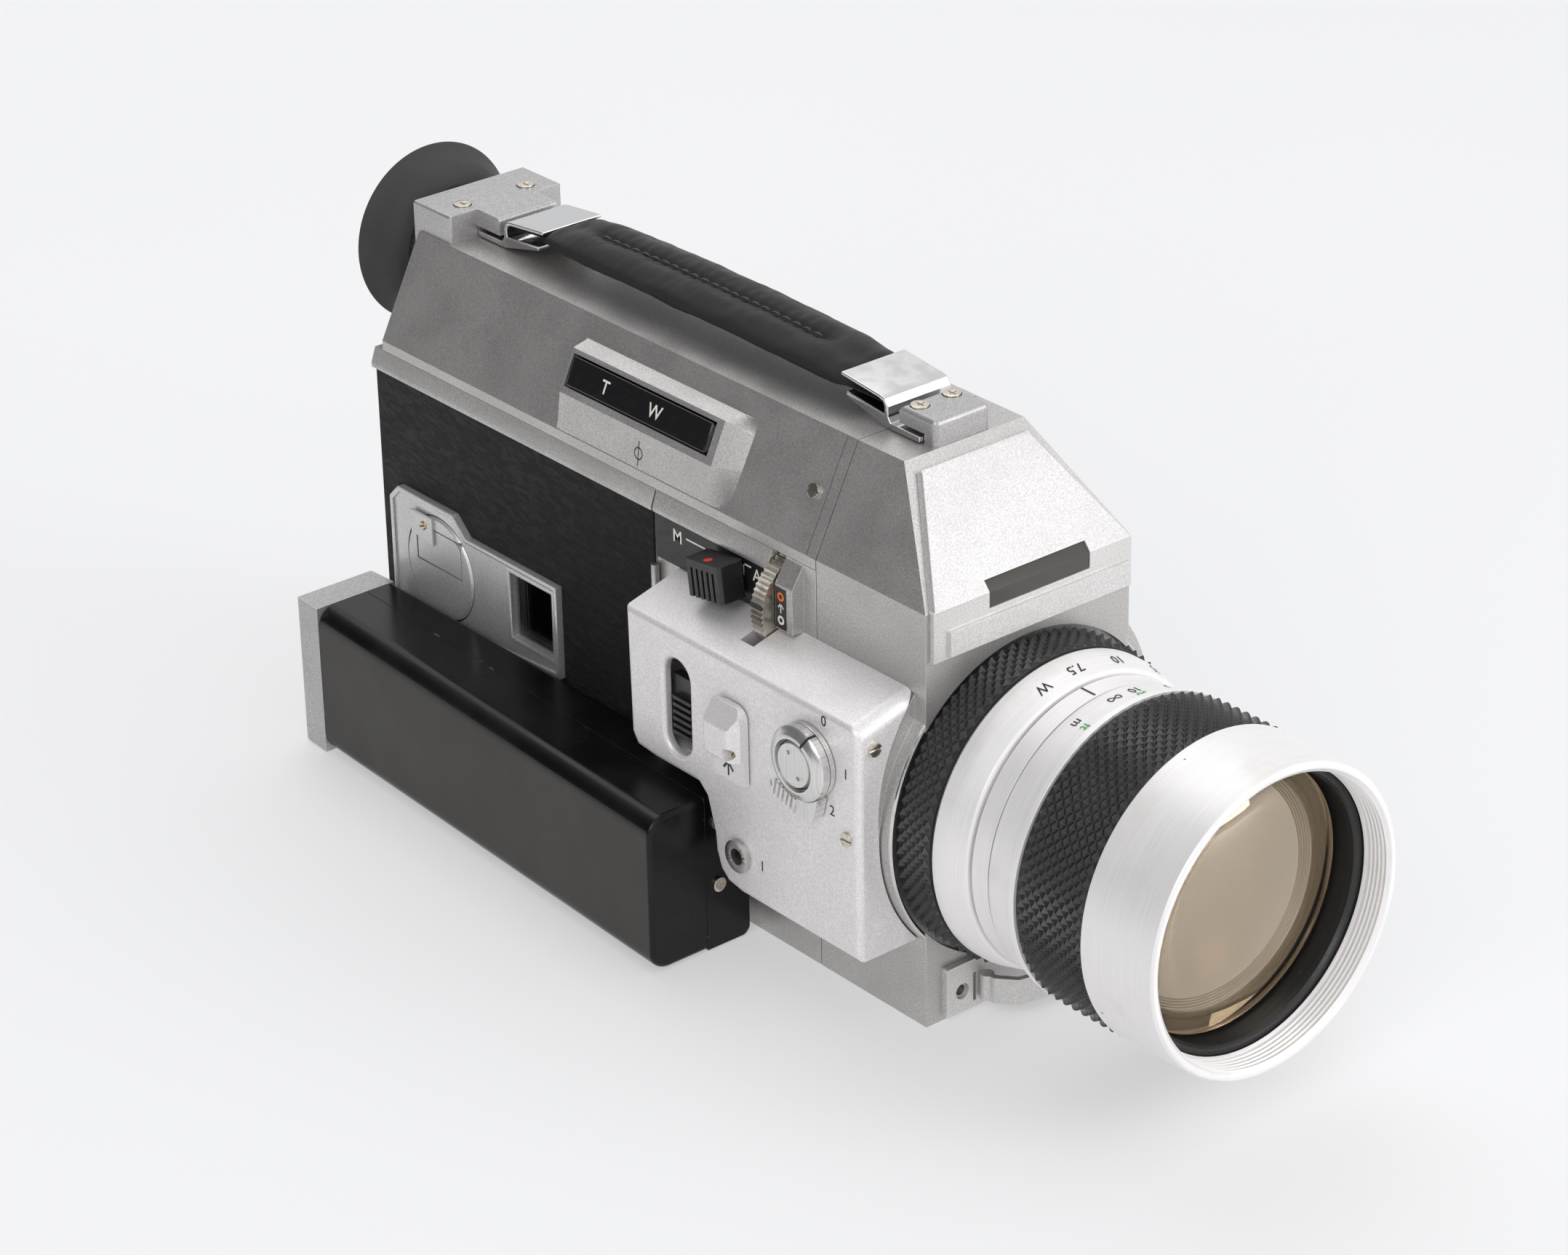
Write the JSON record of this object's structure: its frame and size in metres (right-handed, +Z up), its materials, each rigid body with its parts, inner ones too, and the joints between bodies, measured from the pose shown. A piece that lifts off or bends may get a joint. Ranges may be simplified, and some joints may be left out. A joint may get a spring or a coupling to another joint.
{
  "type": "cine camera",
  "caption": "Hand-held silent cine camera with a long zoom lens, reflex viewfinder, control panel, top strap and a battery grip that folds along the side.",
  "frame": {"origin": "mouth of the tripod socket in the base", "axes": "+X along the lens axis towards the subject, +Y to the camera's left, +Z up"},
  "size_m": [0.2673, 0.0931, 0.1271],
  "materials": {
    "satin_alloy": "satin",
    "bright_alloy": "satin",
    "chrome": "polished",
    "steel": "machined",
    "brass": "machined",
    "black_leatherette": "grained",
    "strap_leather": "soft",
    "black_paint": "semi-gloss",
    "black_plastic": "gloss",
    "black_rubber": "matte",
    "front_glass": "coated",
    "clear_glass": "polished",
    "smoked_glass": "smoked",
    "cell_jacket": "satin"
  },
  "bodies": {
    "root": {"body_casting": "satin_alloy", "carry_strap": "strap_leather", "case_screws": "steel", "chamber_casting": "satin_alloy", "door_hinge_pin": "steel", "door_leatherette": "black_leatherette", "door_trim": "satin_alloy", "drive_motor": "steel", "film_door": "satin_alloy", "film_gate": "steel", "film_window": "clear_glass", "front_housing": "satin_alloy", "front_plate": "satin_alloy", "grip_hinge_block": "black_paint", "grip_hinge_pin": "steel", "label_band": "black_paint", "left_cover": "satin_alloy", "left_leatherette": "black_leatherette", "lens_barrel": "bright_alloy", "meter_window": "smoked_glass", "relay_lens": "black_paint", "release_socket": "steel", "remote_jack": "steel", "side_panel": "satin_alloy", "strap_brackets": "satin_alloy", "strap_clips": "chrome", "top_housing": "satin_alloy", "trigger_plate": "satin_alloy", "tripod_socket": "brass", "viewfinder_tube": "black_paint"},
    "grip": {"grip_shell": "black_paint", "grip_cover": "black_paint", "batteries": "cell_jacket", "grip_screws": "steel"},
    "cap": {"battery_cap": "satin_alloy"},
    "zoom": {"zoom_ring": "bright_alloy", "zoom_grip": "black_rubber"},
    "variator": {"variator_cell": "black_paint"},
    "compensator": {"compensator_cell": "black_paint"},
    "focus": {"focus_ring": "bright_alloy", "focus_grip": "black_rubber", "front_band": "bright_alloy"},
    "front_glass": {"front_lens": "front_glass", "retaining_ring": "black_paint"},
    "rocker": {"zoom_rocker": "black_plastic"},
    "trigger": {"trigger_lever": "steel"},
    "dial": {"mode_dial": "bright_alloy"},
    "lever": {"dial_lever": "bright_alloy"},
    "button": {"slide_button": "satin_alloy"},
    "knob": {"exposure_knob": "black_plastic"},
    "wheel": {"aperture_wheel": "steel"},
    "slider": {"speed_slider": "black_plastic"},
    "eyepiece": {"diopter_ring": "black_rubber", "eyecup": "black_rubber"},
    "latch": {"door_latch": "satin_alloy"},
    "flap": {"latch_flap": "satin_alloy"},
    "shutter": {"shutter_disc": "black_paint", "drive_gear": "brass"},
    "pinion": {"motor_pinion": "brass"},
    "spindle": {"drive_spindle": "black_plastic"}
  },
  "joints": [
    {"name": "grip_fold", "type": "hinge", "parent": "root", "child": "grip", "pos_m": [0.008, -0.0304, 0.012], "axis": [0, -1, 0], "range_deg": [0, 90]},
    {"name": "battery_cap_open", "type": "hinge", "parent": "grip", "child": "cap", "pos_m": [-0.1062, -0.041, 0.0366], "axis": [0, 1, 0], "range_deg": [0, 100]},
    {"name": "zoom_turn", "type": "hinge", "parent": "root", "child": "zoom", "pos_m": [0.078, 0, 0.0447], "axis": [1, 0, 0], "range_deg": [0, 105]},
    {"name": "variator_slide", "type": "slide", "parent": "root", "child": "variator", "axis": [1, 0, 0], "range_m": [0, 0.0141]},
    {"name": "compensator_slide", "type": "slide", "parent": "root", "child": "compensator", "axis": [1, 0, 0], "range_m": [0, 0.006]},
    {"name": "focus_turn", "type": "hinge", "parent": "root", "child": "focus", "pos_m": [0.11, 0, 0.0447], "axis": [-1, 0, 0], "range_deg": [0, 200]},
    {"name": "front_lens_slide", "type": "slide", "parent": "root", "child": "front_glass", "axis": [1, 0, 0], "range_m": [0, 0.0021]},
    {"name": "zoom_rocker_tilt", "type": "hinge", "parent": "root", "child": "rocker", "pos_m": [-0.0224, -0.0212, 0.1046], "axis": [0, 0.4179, 0.9085], "range_deg": [-4, 4], "stiffness_Nm_per_rad": 0.4},
    {"name": "trigger_pull", "type": "hinge", "parent": "root", "child": "trigger", "pos_m": [0.073, -0.0135, 0.0058], "axis": [0, 0, 1], "range_deg": [0, 6], "stiffness_Nm_per_rad": 0.6},
    {"name": "mode_dial_turn", "type": "hinge", "parent": "root", "child": "dial", "pos_m": [0.0525, -0.0422, 0.06], "axis": [0, 1, 0], "range_deg": [0, 95]},
    {"name": "dial_lever_turn", "type": "hinge", "parent": "root", "child": "lever", "pos_m": [0.0525, -0.0428, 0.06], "axis": [0, 1, 0], "range_deg": [0, 20]},
    {"name": "slide_button_push", "type": "slide", "parent": "root", "child": "button", "axis": [0, 0, 1], "range_m": [0, 0.004], "stiffness_N_per_m": 250},
    {"name": "exposure_knob_turn", "type": "hinge", "parent": "root", "child": "knob", "pos_m": [0.0122, -0.0305, 0.0814], "axis": [0, 1, 0], "range_deg": [0, 25]},
    {"name": "aperture_wheel_turn", "type": "hinge", "parent": "root", "child": "wheel", "pos_m": [0.026, -0.0224, 0.0788], "axis": [1, 0, 0], "range_deg": [-60, 60]},
    {"name": "speed_slider_move", "type": "slide", "parent": "root", "child": "slider", "axis": [0, 0, 1], "range_m": [-0.0015, 0.0045]},
    {"name": "diopter_turn", "type": "hinge", "parent": "root", "child": "eyepiece", "pos_m": [-0.115, 0, 0.1063], "axis": [1, 0, 0], "range_deg": [-60, 60]},
    {"name": "door_latch_turn", "type": "hinge", "parent": "root", "child": "latch", "pos_m": [-0.09, -0.0285, 0.045], "axis": [0, -1, 0], "range_deg": [0, 90]},
    {"name": "latch_flap_lift", "type": "hinge", "parent": "latch", "child": "flap", "pos_m": [-0.09, -0.029, 0.0452], "axis": [1, 0, 0], "range_deg": [0, 80]},
    {"name": "shutter_spin", "type": "hinge", "parent": "root", "child": "shutter", "pos_m": [-0.006, 0.004, 0.062], "axis": [1, 0, 0], "continuous": true},
    {"name": "pinion_spin", "type": "hinge", "parent": "root", "child": "pinion", "pos_m": [-0.006, 0.01616, 0.05288], "axis": [1, 0, 0], "continuous": true},
    {"name": "spindle_spin", "type": "hinge", "parent": "root", "child": "spindle", "pos_m": [-0.068, 0.005, 0.046], "axis": [0, 1, 0], "continuous": true}
  ],
  "couplings": [
    {"joint": "variator_slide", "follows": "zoom_turn", "m_per_rad": 0.0076394},
    {"joint": "compensator_slide", "follows": "zoom_turn", "m_per_rad": 0.003274},
    {"joint": "front_lens_slide", "follows": "focus_turn", "m_per_rad": 0.00057296},
    {"joint": "pinion_spin", "follows": "shutter_spin", "ratio": -4},
    {"joint": "spindle_spin", "follows": "shutter_spin", "ratio": 0.05}
  ]
}
